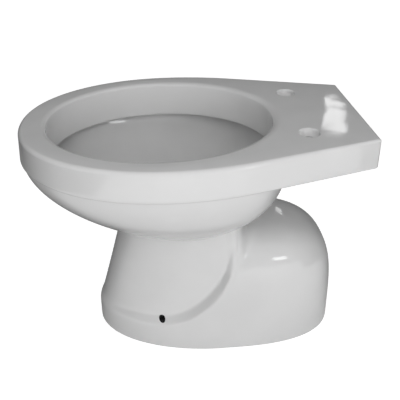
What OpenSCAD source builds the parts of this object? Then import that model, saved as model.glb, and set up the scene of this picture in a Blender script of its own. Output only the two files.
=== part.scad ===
// Floor-standing toilet pan in vitreous china, made as six castings luted together.
// X runs across the pan, the front is at -Y, the seat deck at +Y, and Z is up from the floor.
// The origin is on the floor, under the middle of the rim's length and width.

/* [Rim and deck] */
// Height of the rim's top above the floor
rim_h = 390; // [370:1:420]
// Length of the top from the front of the rim to the rear edge of the deck
pan_l = 510; // [490:1:540]
// Width of the top at its widest
pan_w = 351; // [340:1:375]
// Distance of the widest place behind the front of the rim
widest_back = 225; // [210:1:240]
// Width of the deck across its rear corners
rear_w = 217; // [200:1:240]
// Radius of the long curve that joins the round front to the straight flanks
flank_r = 380; // [340:5:460]
// Radius of the deck's rear corners in plan
corner_r = 4; // [3:0.5:12]
// Radius of the rear corners inside the hollow deck
inner_corner_r = 2; // [1:0.5:6]
// Fullness of the round front, where 2 is an ellipse
front_full = 2.08; // [2:0.02:2.3]
// Depth of the band round the rim and the deck
band_h = 44.5; // [42:0.5:52]
// How far the band flares outward from its top to its bottom
band_flare = 3.5; // [1:0.5:5]
// Radius of the outer top edge
edge_r = 7; // [4:0.5:9]
// Wall of the hollow rim
rim_wall = 9; // [8:0.5:10]

/* [Opening] */
// Length of the opening
open_l = 341; // [330:1:350]
// Width of the opening
open_w = 282; // [272:1:290]
// Distance of the opening's middle behind the front of the rim
open_back = 209; // [205:1:212]
// Fullness of the opening, where 2 is an ellipse
open_full = 2.02; // [2:0.02:2.3]
// Width of the roll at the opening's top edge
roll_w = 10; // [6:0.5:14]
// Height of the roll at the opening's top edge
roll_h = 5.5; // [3:0.5:10]
// Height of the rim's inner wall
inner_wall_h = 59; // [56:1:64]
// How far the inner wall leans in over that height
inner_lean = 0.5; // [0:0.5:4]
// Radius of the lip at the inner wall's lower edge
lip_r = 4; // [2:0.5:4.5]

/* [Seat and flush holes] */
// Distance between the two seat holes
seat_pitch = 155; // [140:1:165]
// Distance of the seat holes in front of the deck's rear edge
seat_inset = 92; // [84:1:96]
// Diameter of a seat hole
seat_hole_d = 16; // [12:0.5:18]
// Radius of the rounded mouth of a seat hole
seat_mouth_r = 7; // [2:0.5:8]
// Wall of the collar round a seat hole inside the hollow deck
collar_wall = 9; // [7:0.5:11]
// Inner diameter of the flush inlet
flush_bore_d = 45; // [38:1:48]
// Wall of the flush inlet
flush_wall = 6.5; // [5:0.5:8]
// Radius of the flush elbow along its middle
flush_bend_r = 35; // [32:1:40]
// Straight length of the flush inlet behind its bend
flush_run = 32; // [20:1:34]
// Distance of the flush entry in front of the deck's rear edge
flush_inset = 70; // [68:1:76]

/* [Bowl] */
// Depth of the bowl from the bottom of the band to the throat
bowl_d = 165; // [155:1:175]
// Width of the bowl under the band
bowl_w = 348; // [340:1:350]
// Distance from the bowl's widest place to its front, under the band
bowl_front = 226; // [220:1:227]
// Gap between the bowl's rear end and the flush elbow, under the band
flush_gap = 14.5; // [8:0.5:24]
// Fullness of the bowl's rear in plan
bowl_rear_full = 2.9; // [2.4:0.1:3.2]
// Swell of the bowl's sides, where more makes them fuller
side_swell = 2.24; // [2:0.02:2.6]
// Swell of the bowl's front
front_swell = 1.91; // [1.8:0.01:2.2]
// Turn of the bowl into its throat
throat_turn = 1.43; // [1.3:0.01:1.5]
// Outer radius of the throat
throat_r = 50; // [46:1:54]
// Wall of the bowl
bowl_wall = 11; // [8:0.5:12]

/* [Hump and foot] */
// Distance of the hump's middle behind the middle of the pan
body_y = 40; // [34:1:46]
// Width of the hump above the foot
body_w = 218.5; // [210:0.5:230]
// Reach of the foot to the front from the hump's middle
body_front = 206; // [200:1:214]
// Reach of the hump to the rear from its middle
body_rear = 200.5; // [192:0.5:204]
// Fullness of the hump's rear in plan
body_rear_full = 2.8; // [2.4:0.1:3.2]
// Height of the hump
hump_h = 202.5; // [201:0.5:206]
// Fullness of the hump's side, where more makes its shoulder tighter
hump_full = 4.9; // [4:0.1:6]
// Share by which the foot is wider at the floor than the hump
foot_flare = 0.043; // [0.02:0.001:0.06]
// Wall of the pedestal
body_wall = 11; // [8:0.5:11.5]
// Width of the luting seam between the pedestal and the bowl
seam = 0.4; // [0.2:0.1:0.8]

/* [Column] */
// Width of the column, taken down to the floor
column_w_low = 204; // [196:1:208]
// Width of the column at the hump's height
column_w_high = 180; // [172:1:186]
// Reach of the column to the front, taken down to the floor
column_front_low = 224.8; // [218:0.2:230]
// Reach of the column to the front at the hump's height
column_front_high = 163.5; // [156:0.5:170]
// Hollow of the column's front line
column_hollow = 1.3; // [0:0.1:4]
// Reach of the column to the rear, above the hump
column_rear = 36; // [32:1:42]
// Fullness of the column's round front, where 2 is an ellipse
column_full = 2.1; // [2:0.02:2.3]
// Fullness of the column's rear in plan
column_rear_full = 3.2; // [2.6:0.1:3.8]

/* [Shoulder sweep] */
// Height of the shoulder round the front of the foot
shoulder_h = 55.3; // [48:0.1:60]
// Where the shoulder starts to sweep up, behind the middle of the pan
sweep_y = -75.6; // [-84:0.1:-68]
// Length of the sweep
sweep_l = 139.3; // [132:0.1:146]
// Rise of the sweep
sweep_h = 177.2; // [170:0.1:184]
// Height of the ledge between the foot and the column
ledge_h = 9.9; // [6:0.1:14]
// Width of the ledge where the sweep stands upright
ledge_w = 7.6; // [4:0.1:10]
// Diameter of a side fixing hole
fix_d = 10; // [8:0.5:14]
// Distance of the side fixing holes in front of the middle of the pan
fix_front = 60; // [50:1:75]
// Place of the side fixing holes up the ledge, from 0 at its foot to 1 at its top
fix_up = 0.75; // [0.4:0.05:0.9]

/* [Trapway] */
// Inner radius of the trapway
trap_r = 28; // [26:0.5:29]
// Wall of the trapway
trap_wall = 9; // [7:0.5:9.5]
// Radius of the dip bend along its middle
dip_r = 44; // [40:1:46]
// Gap between the rise of the trapway and the outlet
outlet_gap = 3; // [1:0.5:6]
// Clearance between the dip and the floor
dip_clear = 6; // [4:0.5:10]
// Clearance between the weir bend and the inside of the hump
weir_clear = 2; // [1:0.5:5]
// Height of the funnel under the throat
funnel_h = 50; // [40:1:60]
// Inner radius of the outlet
outlet_r = 41; // [38:0.5:43]
// Outer diameter of the outlet
outlet_d = 100; // [94:1:104]
// Length of the outlet, with its shoulder
outlet_l = 64; // [50:1:80]
// Thickness of the outlet's shoulder
outlet_shoulder = 9; // [7:0.5:11]
// Height of the outlet's end above the floor
outlet_lift = 6; // [2:0.5:10]

/* [Hidden] */

china = [0.88, 0.88, 0.87];
china_inside = [0.80, 0.80, 0.79];

front_steps = 22;
flank_steps = 5;
straight_steps = 6;
corner_steps = 3;
rear_steps = 4;
round_steps = 3;
around = 96;
bowl_rows = 13;
foot_rows = 8;
column_rows = 5;
bisections = 24;
overshoot = 1;
fix_bore_l = 4 * body_wall;

band_z = rim_h - band_h;
lip_z = rim_h - inner_wall_h;
widest_y = -pan_l / 2 + widest_back;
open_y = -pan_l / 2 + open_back;
throat_z = band_z - bowl_d;
seat_y = pan_l / 2 - seat_inset;
flush_y = pan_l / 2 - flush_inset;
flush_r = flush_bore_d / 2;
flush_outer_r = flush_r + flush_wall;
bowl_rear = flush_y - flush_outer_r - flush_gap;
sweep_top = shoulder_h + sweep_h;

// Centre of the flank curve, and the angle of the straight flank
flank_centre = [pan_w / 2 - flank_r, widest_y];
rear_corner = [rear_w / 2, pan_l / 2] - flank_centre;
flank_a = atan2(rear_corner.y, rear_corner.x) - acos(flank_r / norm(rear_corner));

function lerp(a, b, t) = a + (b - a) * t;
function power(v, e) = sign(v) * pow(abs(v), e);
function on_arc(centre, r, a) = centre + r * [cos(a), sin(a)];
function raise(outline, z) = [for (p = outline) [p.x, p.y, z]];

// Radius of an egg-shaped outline towards the direction [c, s]
function egg_r(c, s, half_w, front, rear, front_n, rear_n) =
    let(n = s > 0 ? rear_n : front_n, reach = s > 0 ? rear : front)
    pow(pow(abs(c) / half_w, n) + pow(abs(s) / reach, n), -1 / n);

// Centre of a rear corner of radius r that joins the flank and the rear edge, both moved outward by off
function corner_centre(off, r) =
    let(y = pan_l / 2 + off - r)
    [flank_centre.x + (flank_r + off - r - (y - widest_y) * sin(flank_a)) / cos(flank_a), y];

// Half of the rim's outline from the front to the rear, moved outward by off
function rim_half(off) =
    let(
        half_w = pan_w / 2 + off,
        front = widest_back + off,
        turn_r = max(corner_r + off, inner_corner_r),
        turn = corner_centre(off, turn_r),
        flank_end = on_arc(flank_centre, flank_r + off, flank_a),
        corner_start = on_arc(turn, turn_r, flank_a),
        corner_end = on_arc(turn, turn_r, 90)
    )
    concat(
        [for (i = [0:front_steps - 1]) let(a = -90 + 90 * i / front_steps)
            [half_w * power(cos(a), 2 / front_full), widest_y + front * power(sin(a), 2 / front_full)]],
        [for (i = [0:flank_steps - 1]) on_arc(flank_centre, flank_r + off, flank_a * i / flank_steps)],
        [for (i = [0:straight_steps - 1]) lerp(flank_end, corner_start, i / straight_steps)],
        [for (i = [0:corner_steps - 1]) on_arc(turn, turn_r, lerp(flank_a, 90, i / corner_steps))],
        [for (i = [0:rear_steps]) lerp(corner_end, [0, corner_end.y], i / rear_steps)]
    );

// A whole outline from its half, mirrored across X
function mirrored(half) = concat(half, [for (i = [len(half) - 2:-1:1]) [-half[i].x, half[i].y]]);
function rim_outline(off) = mirrored(rim_half(off));

// Directions in which the opening and the bowl face the points of the rim's outline
rim_base = rim_outline(0);

function open_outline(off) = [for (p = rim_base)
    let(a = atan2(p.y - open_y, p.x), half_l = open_l / 2 + off)
    on_arc([0, open_y], egg_r(cos(a), sin(a), open_w / 2 + off, half_l, half_l, open_full, open_full), a)];

function bowl_top_outline(off) = [for (p = rim_base)
    let(a = atan2(p.y - widest_y, p.x)) on_arc([0, widest_y], bowl_r(cos(a), sin(a), 0, off), a)];

// The bowl's sides and front draw in from the band, at 0, to the throat, at 1
function side_share(s) = pow(1 - pow(s, side_swell), throat_turn);
function front_share(s) = pow(1 - pow(s, front_swell), throat_turn);
function bowl_y(s) = widest_y * side_share(s);
function bowl_half_w(s) = lerp(throat_r, bowl_w / 2, side_share(s));
function bowl_front_y(s) = lerp(-throat_r, widest_y - bowl_front, front_share(s));
function bowl_rear_y(s) = lerp(throat_r, bowl_rear, side_share(s));

function bowl_r(c, s, depth, off) =
    egg_r(c, s, bowl_half_w(depth) + off,
        bowl_y(depth) - bowl_front_y(depth) + off, bowl_rear_y(depth) - bowl_y(depth) + off,
        lerp(2, front_full, side_share(depth)), lerp(2, bowl_rear_full, side_share(depth)));

// Lean of the bowl's wall away from upright at a depth
function bowl_lean(s) =
    let(step = 0.01, low = min(1, s + step), high = max(0, s - step))
    atan2(bowl_half_w(high) - bowl_half_w(low), bowl_d * (low - high));

// A ring of the bowl's surface, moved into the bowl by the wall
function bowl_ring(s, wall) =
    let(lean = bowl_lean(s), z = band_z - bowl_d * s + wall * sin(lean) * (s > 0 ? 1 : 0))
    [for (i = [0:around - 1]) let(a = 360 * i / around, r = bowl_r(cos(a), sin(a), s, -wall * cos(lean)))
        [r * cos(a), bowl_y(s) + r * sin(a), z]];

function in_bowl(p) =
    let(
        s = (band_z - p.z) / bowl_d,
        d = p.y - bowl_y(max(0, min(1, s))),
        away = norm([p.x, d])
    )
    s < 1 && away < bowl_r(p.x / away, d / away, max(0, s), 0);

// Radii of the hump with its foot and of the column, about the hump's middle
function body_r(c, s, z, off) =
    let(share = min(1, z / (hump_h - off)))
    egg_r(c, s, body_w / 2 - off, body_front - off, body_rear - off, 2, body_rear_full)
        * pow(1 - pow(share, hump_full), 1 / hump_full) * (1 + foot_flare * (1 - share));

function column_half_w(z) = lerp(column_w_low, column_w_high, z / hump_h) / 2;
function column_reach(z) =
    let(t = z / hump_h)
    lerp(column_front_low, column_front_high, t) - column_hollow * 4 * t * (1 - t);
function column_r(c, s, z, off) =
    egg_r(c, s, column_half_w(z) - off, column_reach(z) - off, column_rear - off, column_full, column_rear_full);

// Half widths of the foot and of the column at a distance y in front of the hump's middle
function egg_x(d, half_w, front, n) = half_w * pow(1 - pow(abs(d) / front, n), 1 / n);
function body_x(y, z) =
    let(grow = 1 + foot_flare * (1 - z / hump_h))
    egg_x(y - body_y, body_w / 2 * grow, body_front * grow, 2);
function column_x(y, z) = egg_x(y - body_y, column_half_w(z), column_reach(z), column_full);

function column_point(a, z, off) =
    let(r = column_r(cos(a), sin(a), z, off)) [r * cos(a), body_y + r * sin(a), z];
function body_point(a, z, off) =
    let(r = body_r(cos(a), sin(a), z, off)) [r * cos(a), body_y + r * sin(a), z];

// Height at which the column meets the bowl, found by halving
function bowl_meet(a, off, low, high, n) =
    let(mid = (low + high) / 2)
    n == 0 ? mid - seam
    : in_bowl(column_point(a, mid, off)) ? bowl_meet(a, off, low, mid, n - 1)
    : bowl_meet(a, off, mid, high, n - 1);

// Height at which the hump's shoulder draws in to the column, found by halving
function hump_meet(a, off, low, high, n) =
    let(mid = (low + high) / 2)
    n == 0 ? mid
    : body_r(cos(a), sin(a), mid, off) < column_r(cos(a), sin(a), mid, off) ? hump_meet(a, off, low, mid, n - 1)
    : hump_meet(a, off, mid, high, n - 1);

// Height of a line of the sweep at a distance y, its curve grown by grow_l and grow_h
function sweep_z(y, grow_l, grow_h) =
    let(t = max(0, y - sweep_y) / (sweep_l + grow_l))
    sweep_top - (sweep_h + grow_h) * sqrt(1 - min(1, t * t));

// Heights of the foot's edge, the ledge's top and the seam with the bowl towards an angle
function ledge_heights(a, off) =
    let(
        y = body_point(a, shoulder_h, off).y,
        top = bowl_meet(a, off, throat_z, band_z, bisections),
        edge = min(
            sweep_z(y, ledge_w / 2 + off, ledge_h / 2 + off),
            hump_meet(a, off, 0, hump_h - off, bisections)),
        ledge_top = sweep_z(y, off - ledge_w / 2, off - ledge_h / 2)
    )
    [edge, min(max(ledge_top, edge), (edge + top) / 2), top];

// Height of a row of the foot, spread so that the rows crowd at the hump's shoulder
function foot_z(edge, t, off) =
    let(limit = asin(pow(min(1, edge / (hump_h - off)), hump_full / 2)))
    (hump_h - off) * pow(sin(limit * t), 2 / hump_full);

function foot_ring(heights, t, off) = [for (i = [0:around - 1])
    let(a = 360 * i / around) body_point(a, foot_z(heights[i][0], t, off), off)];

function column_ring(heights, t, off) = [for (i = [0:around - 1])
    let(a = 360 * i / around) column_point(a, lerp(heights[i][1], heights[i][2], t), off)];

// All rings of the pedestal's skin from the floor to the bowl
function pedestal_skin(off) =
    let(heights = [for (i = [0:around - 1]) ledge_heights(360 * i / around, off)])
    concat(
        [for (k = [0:foot_rows]) foot_ring(heights, k / foot_rows, off)],
        [for (k = [0:column_rows]) column_ring(heights, k / column_rows, off)]
    );

function reversed(list) = [for (i = [len(list) - 1:-1:0]) list[i]];

// A solid ring whose skin runs through the given rings, up its outside and down its inside
module ring_body(rings) {
    n = len(rings[0]);
    count = len(rings);
    polyhedron(
        points = [for (ring = rings) each ring],
        faces = [for (r = [0:count - 1], i = [0:n - 1])
            let(
                low = r * n,
                high = (r + 1) % count * n,
                next = (i + 1) % n
            )
            each [[low + i, high + next, low + next], [low + i, high + i, high + next]]]
    );
}

// A straight or tapered tube along Z
module tube(length, outer_low, outer_high, inner_low, inner_high) {
    difference() {
        cylinder(h = length, r1 = outer_low, r2 = outer_high, $fn = 72);
        translate([0, 0, -overshoot])
            cylinder(h = length + 2 * overshoot, r1 = inner_low, r2 = inner_high, $fn = 72);
    }
}

// A bend in the YZ plane about the origin, from angle from_a through sweep_a, measured from +Y to +Z
module bend(bend_r, outer, inner, from_a, sweep_a) {
    rotate([90, 0, 90])
        rotate([0, 0, from_a])
            rotate_extrude(angle = sweep_a, $fn = 96)
                translate([bend_r, 0])
                    difference() {
                        circle(r = outer, $fn = 72);
                        circle(r = inner, $fn = 72);
                    }
}

module at_seat_holes() {
    for (side = [-1, 1])
        translate([side * seat_pitch / 2, seat_y, 0])
            children();
}

// The rim as an open-flush channel: its inner wall hangs inside the bowl and leaves a slot all round
module rim_form() {
    ring_body(concat(
        [raise(rim_outline(band_flare), band_z)],
        [for (i = [0:round_steps]) let(a = 90 * i / round_steps)
            raise(rim_outline(-edge_r * (1 - cos(a))), rim_h - edge_r * (1 - sin(a)))],
        [for (i = [0:round_steps]) let(a = 90 * i / round_steps)
            raise(open_outline(roll_w * (1 - sin(a))), rim_h - roll_h * (1 - cos(a)))],
        [for (i = [0:round_steps]) let(a = 90 * i / round_steps)
            raise(open_outline(-inner_lean + lip_r * (1 - cos(a))), lip_z + lip_r * (1 - sin(a)))],
        [raise(open_outline(rim_wall - inner_lean), lip_z + lip_r / 2)],
        [raise(open_outline(rim_wall), rim_h - rim_wall)],
        [raise(rim_outline(-rim_wall), rim_h - rim_wall)],
        [raise(rim_outline(-rim_wall), band_z + rim_wall)],
        [raise(bowl_top_outline(-bowl_wall), band_z + rim_wall)],
        [raise(bowl_top_outline(-bowl_wall), band_z)]
    ));
}

module seat_hole() {
    r = seat_hole_d / 2;
    translate([0, 0, band_z - overshoot])
        cylinder(h = band_h + 2 * overshoot, r = r, $fn = 48);
    translate([0, 0, rim_h - seat_mouth_r])
        rotate_extrude($fn = 48)
            difference() {
                square([r + seat_mouth_r, seat_mouth_r + overshoot]);
                translate([r + seat_mouth_r, 0])
                    circle(r = seat_mouth_r, $fn = 48);
            }
}

module rim() {
    color(china)
        difference() {
            union() {
                rim_form();
                at_seat_holes()
                    translate([0, 0, band_z + rim_wall / 2])
                        cylinder(h = band_h - rim_wall, r = seat_hole_d / 2 + collar_wall, $fn = 48);
            }
            at_seat_holes()
                seat_hole();
            translate([0, flush_y, band_z - overshoot])
                cylinder(h = rim_wall + 2 * overshoot, r = flush_r, $fn = 72);
        }
}

module bowl() {
    color(china_inside)
        ring_body(concat(
            [for (k = [bowl_rows:-1:0]) bowl_ring(k / bowl_rows, 0)],
            [for (k = [0:bowl_rows]) bowl_ring(k / bowl_rows, bowl_wall)]
        ));
}

module fix_hole(side) {
    low = sweep_z(-fix_front, ledge_w / 2, ledge_h / 2);
    high = sweep_z(-fix_front, -ledge_w / 2, -ledge_h / 2);
    x = lerp(body_x(-fix_front, low), column_x(-fix_front, high), fix_up);
    translate([side * x, -fix_front, lerp(low, high, fix_up)])
        rotate([0, 90, 0])
            cylinder(h = fix_bore_l, d = fix_d, center = true, $fn = 48);
}

module pedestal() {
    color(china)
        difference() {
            ring_body(concat(pedestal_skin(0), reversed(pedestal_skin(body_wall))));
            for (side = [-1, 1])
                fix_hole(side);
        }
}

// Places along the trapway, which runs in the pan's middle plane
trap_outer = trap_r + trap_wall;
weir_r = (trap_outer + outlet_gap + outlet_d / 2) / 2;
dip_z = dip_clear + trap_outer + dip_r;
weir_z = hump_h - body_wall - weir_clear - trap_outer - weir_r;
rise_y = 2 * dip_r;
outlet_y = rise_y + 2 * weir_r;
funnel_z = throat_z - funnel_h;
shoulder_top = outlet_lift + outlet_l;

module trapway() {
    color(china_inside) {
        translate([0, 0, funnel_z])
            tube(funnel_h, trap_outer, throat_r, trap_r, throat_r - bowl_wall);
        translate([0, 0, dip_z])
            tube(funnel_z - dip_z, trap_outer, trap_outer, trap_r, trap_r);
        translate([0, dip_r, dip_z])
            bend(dip_r, trap_outer, trap_r, 180, 180);
        translate([0, rise_y, dip_z])
            tube(weir_z - dip_z, trap_outer, trap_outer, trap_r, trap_r);
        translate([0, rise_y + weir_r, weir_z])
            bend(weir_r, trap_outer, trap_r, 0, 180);
        translate([0, outlet_y, shoulder_top])
            tube(weir_z - shoulder_top, trap_outer, trap_outer, trap_r, trap_r);
    }
}

module outlet_spigot() {
    color(china_inside)
        translate([0, outlet_y, outlet_lift])
            difference() {
                cylinder(h = outlet_l, d = outlet_d, $fn = 72);
                translate([0, 0, -overshoot])
                    cylinder(h = outlet_l - outlet_shoulder + overshoot, r = outlet_r, $fn = 72);
                cylinder(h = outlet_l + overshoot, r = trap_r, $fn = 72);
            }
}

module flush_inlet() {
    color(china_inside)
        translate([0, flush_y + flush_bend_r, band_z]) {
            bend(flush_bend_r, flush_outer_r, flush_r, 180, 90);
            translate([0, flush_run, -flush_bend_r])
                rotate([90, 0, 0])
                    tube(flush_run, flush_outer_r, flush_outer_r, flush_r, flush_r);
        }
}

rim();
bowl();
pedestal();
trapway();
outlet_spigot();
flush_inlet();
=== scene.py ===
"""Toilet pan in glazed vitreous china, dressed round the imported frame.

Metres, in the frame's own axes: the round front is at -Y, the seat deck at +Y, +Z is up.
"""
import math

import bmesh
import bpy
import numpy as np
from mathutils import Matrix, Vector


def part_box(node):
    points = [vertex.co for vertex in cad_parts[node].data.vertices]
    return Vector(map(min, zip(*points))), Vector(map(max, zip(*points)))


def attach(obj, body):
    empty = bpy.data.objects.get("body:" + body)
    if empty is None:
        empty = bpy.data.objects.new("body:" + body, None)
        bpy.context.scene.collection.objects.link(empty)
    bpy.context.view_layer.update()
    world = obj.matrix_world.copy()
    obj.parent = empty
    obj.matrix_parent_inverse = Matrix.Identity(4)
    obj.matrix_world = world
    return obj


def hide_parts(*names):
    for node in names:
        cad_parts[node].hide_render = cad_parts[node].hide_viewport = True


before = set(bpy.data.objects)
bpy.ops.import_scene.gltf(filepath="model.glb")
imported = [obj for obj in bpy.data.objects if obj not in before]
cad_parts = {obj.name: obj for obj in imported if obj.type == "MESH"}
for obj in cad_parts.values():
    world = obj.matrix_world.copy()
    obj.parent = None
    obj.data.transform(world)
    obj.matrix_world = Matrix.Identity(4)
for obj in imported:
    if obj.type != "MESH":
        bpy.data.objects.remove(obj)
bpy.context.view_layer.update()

MM = 0.001

# Rim and deck. A value named FULL is an outline's power: 2 is an ellipse, and more is fuller.
RIM_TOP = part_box("rim")[1].z
BAND_FLARE = 3.5 * MM
HALF_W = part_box("rim")[1].x - BAND_FLARE
HALF_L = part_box("rim")[1].y - BAND_FLARE
WIDEST_Y = -HALF_L + 225 * MM
REAR_HALF_W = 108.5 * MM
FLANK_R = 380 * MM
CORNER_R = 4 * MM
INNER_CORNER_R = 2 * MM
FRONT_FULL = 2.08
BAND_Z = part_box("bowl")[1].z
BAND_LIP_R = 2.5 * MM
EDGE_PLACES = (-80 * MM, 20 * MM, 250 * MM)
EDGE_RADII = (6.5 * MM, 7 * MM, 4 * MM)
REAR_REACH = 2 * MM
RIM_WALL = 9 * MM
DECK_CROWN = 0.5 * MM
DECK_EDGE_Z = RIM_TOP - DECK_CROWN

# The deck's unevenness, from waves across, along and slanting, with the place where each starts
UNEVEN = 0.12 * MM
UNEVEN_MOST = 1.7
WAVE_X, WAVE_Y, WAVE_SLANT = 31 * MM, 43 * MM, 23 * MM
START_X, START_Y, START_SLANT = 0.6, 1.1, 0.4
SLANT_SHARE = 0.6

# Opening
OPEN_HALF_L = 170.5 * MM
OPEN_HALF_W = 141 * MM
OPEN_Y = -HALF_L + 209 * MM
OPEN_FULL = 2.02
ROLL_FRONT_W = 8 * MM
ROLL_REAR_W = 12.5 * MM
ROLL_FRONT_H = 4.5 * MM
ROLL_REAR_H = 6.5 * MM
INNER_LEAN = 0.5 * MM
LIP_R = 4 * MM
LIP_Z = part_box("rim")[0].z

# Seat holes and flush entry, and how far their cutters reach past the china
SEAT_X = 77.5 * MM
SEAT_Y = HALF_L - 92 * MM
SEAT_HOLE_R = 8 * MM
SEAT_MOUTH_R = 16 * MM
SEAT_MOUTH_H = 9 * MM
SEAT_LIP_R = 1.2 * MM
COLLAR_WALL = 9 * MM
CUTTER_OVER = 2 * MM
CUTTER_WIDER = 0.4 * MM
FLUSH_R = 22.5 * MM
FLUSH_WALL = 6.5 * MM
FLUSH_BEND_R = 35 * MM
FLUSH_RUN = 32 * MM
FLUSH_Y = HALF_L - 70 * MM

# Bowl
BOWL_D = BAND_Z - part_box("bowl")[0].z
BOWL_HALF_W = 174 * MM
BOWL_FRONT = 226 * MM
BOWL_REAR = 141.5 * MM
BOWL_REAR_FULL = 2.9
SIDE_SWELL = 2.24
FRONT_SWELL = 1.91
THROAT_TURN = 1.43
THROAT_R = 50 * MM
BOWL_WALL = 11 * MM
LEAN_STEP = 0.01

# Hump, foot and column, about a middle line behind the pan's middle
BODY_Y = 40 * MM
BODY_HALF_W = 109.25 * MM
BODY_FRONT = 206 * MM
BODY_REAR = 200.5 * MM
BODY_REAR_FULL = 2.8
HUMP_H = 202.5 * MM
HUMP_FULL = 4.9
FOOT_FLARE = 0.043
BODY_WALL = 11 * MM
FOOT_EDGE_R = 2 * MM
COLUMN_LOW = 102 * MM
COLUMN_HIGH = 90 * MM
COLUMN_FRONT_LOW = 224.8 * MM
COLUMN_FRONT_HIGH = 163.5 * MM
COLUMN_HOLLOW = 1.3 * MM
COLUMN_REAR = 36 * MM
COLUMN_FULL = 2.1
COLUMN_REAR_FULL = 3.2

# Shoulder sweep and the fixing holes in its ledge
SHOULDER_H = 55.3 * MM
SWEEP_Y = -75.6 * MM
SWEEP_L = 139.3 * MM
SWEEP_H = 177.2 * MM
FRONT_REACH = 130 * MM
FRONT_DROP = 9 * MM
LEDGE_H = 9.9 * MM
LEDGE_W = 7.6 * MM
FIX_R = 5 * MM
FIX_Y = -60 * MM
FIX_UP = 0.75
FIX_CUT = 22 * MM

# The curve from the hump to the bowl behind the sweep, and the column's run into the bowl ahead of it
BLEND_FROM = 48 * MM
BLEND_TO = 70 * MM
BLEND_LOW = 40 * MM
BLEND_TIGHT = 0.65
SKIRT_RISE = 16 * MM
SKIRT_PROUD = 0.8 * MM
SKIRT_DIVE = 7 * MM
SKIRT_KEPT = 3
RUN_ON = 8 * MM

# Rounding of the pedestal's corners, in rows and directions, wider at the rear and at the front
TIGHT_ROWS, TIGHT_STEPS = 1.6, 1.5
WIDE_ROWS, WIDE_STEPS = 5.0, 2.0
WIDE_REAR, WIDE_REAR_OVER = 60 * MM, 30 * MM
WIDE_FRONT, WIDE_FRONT_OVER = -70 * MM, 60 * MM

# Where the pedestal's directions crowd together
CROWD_AT = math.radians(16)
CROWD_WIDTH = math.radians(13)
CROWD = 2.5

# Trapway and outlet
TRAP_R = 28 * MM
TRAP_WALL = 9 * MM
DIP_R = 44 * MM
OUTLET_GAP = 3 * MM
DIP_CLEAR = 6 * MM
WEIR_CLEAR = 2 * MM
FUNNEL_H = 50 * MM
OUTLET_R = 50 * MM
OUTLET_BORE_R = 41 * MM
OUTLET_L = 64 * MM
OUTLET_LIFT = 6 * MM
OUTLET_SHOULDER = 9 * MM
OUTLET_EDGE = 0.2 * MM
SHOULDER_EDGE = 1 * MM
HORN_LIP_R = 2 * MM
TRAP_LIP_R = 0.5 * MM

# Fineness of the meshes, in rows and points
AROUND = 400
BOWL_ROWS = 100
PROFILE_ROWS = 200
INNER_ROWS = 30
HUMP_POINTS = 120
COLUMN_POINTS = 60
BLEND_POINTS = 60
SKIRT_POINTS = 17
FINE_POINTS = 2000
BAND_ROWS, DECK_ROWS, WALL_ROWS = 8, 16, 12
EDGE_POINTS, LIP_POINTS, SMALL_LIP_POINTS = 14, 8, 5
CUP_POINTS, CUP_LIP_POINTS, FOOT_EDGE_POINTS = 11, 6, 4
HOLE_AROUND, ENTRY_AROUND, BORE_AROUND, PIPE_AROUND = 64, 72, 48, 72
FUNNEL_POINTS, TRAP_BEND_POINTS, FLUSH_BEND_POINTS, RUN_POINTS = 12, 40, 24, 8

# Searches by halving: how many times, a reach past any skin, and a length that keeps a divisor from 0
HALVINGS = 30
FAR_OUT = 0.4
TINY = 1e-9

# The gap that a pipe's seam closes, and the folds in degrees over which a skin is shaded as an edge
SEAM_GAP = 1e-6
RIM_FOLD = 40
FOLD = 50


def lerp(a, b, t):
    return a + (b - a) * t


def eased(t):
    """From 0 to 1 with a soft start and a soft end."""
    return t * t * (3 - 2 * t)


def arch(t):
    """0 at both ends and 1 in the middle."""
    return 4 * t * (1 - t)


def quarter(count):
    """Angles of a quarter turn."""
    return np.linspace(0, math.pi / 2, count)


def power(value, exponent):
    """A power that keeps the value's sign."""
    return np.sign(value) * np.abs(value) ** exponent


def arc(centre, radius, angles):
    """Points round a centre."""
    return np.stack([centre[0] + radius * np.cos(angles), centre[1] + radius * np.sin(angles)], -1)


def lengths_along(points):
    """Length of the line from its start to each of its points."""
    return np.concatenate([[0], np.cumsum(np.linalg.norm(np.diff(points, axis=0), axis=1))])


def halve(low, high, is_high):
    """The place between low and high where is_high starts to hold."""
    for _ in range(HALVINGS):
        mid = (low + high) / 2
        above = is_high(mid)
        low, high = np.where(above, low, mid), np.where(above, mid, high)
    return (low + high) / 2


def raised(outline, z):
    """An outline's points at one height or at one for each point."""
    return np.concatenate([outline, np.broadcast_to(np.asarray(z, float), (len(outline),))[:, None]], 1)


def egg_r(c, s, half_w, front, rear, front_n, rear_n):
    """Radius of an egg-shaped outline towards the direction (c, s)."""
    n = np.where(s > 0, rear_n, front_n)
    reach = np.where(s > 0, rear, front)
    return ((np.abs(c) / half_w) ** n + (np.abs(s) / reach) ** n) ** (-1 / n)


# The rim's outline: a full front, flanks of one radius, straight sides and a rear with small corners

FLANK_CENTRE = (HALF_W - FLANK_R, WIDEST_Y)
TO_CORNER = (REAR_HALF_W - FLANK_CENTRE[0], HALF_L - FLANK_CENTRE[1])
FLANK_END = math.atan2(TO_CORNER[1], TO_CORNER[0]) - math.acos(FLANK_R / math.hypot(*TO_CORNER))
FRONT_STEPS, FLANK_STEPS, STRAIGHT_STEPS, CORNER_STEPS, REAR_STEPS = 90, 18, 30, 8, 18


def front_curve(angles, off):
    """The round front, from its tip at -90 degrees to its widest place at 0."""
    return np.stack([
        (HALF_W + off) * power(np.cos(angles), 2 / FRONT_FULL),
        WIDEST_Y + (WIDEST_Y + HALF_L + off) * power(np.sin(angles), 2 / FRONT_FULL)], -1)


def even_front_angles():
    """Angles that space the front's points evenly along the curve."""
    angles = np.linspace(-math.pi / 2, 0, FINE_POINTS)
    along = lengths_along(front_curve(angles, 0))
    return np.interp(np.arange(FRONT_STEPS) / FRONT_STEPS * along[-1], along, angles)


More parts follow.
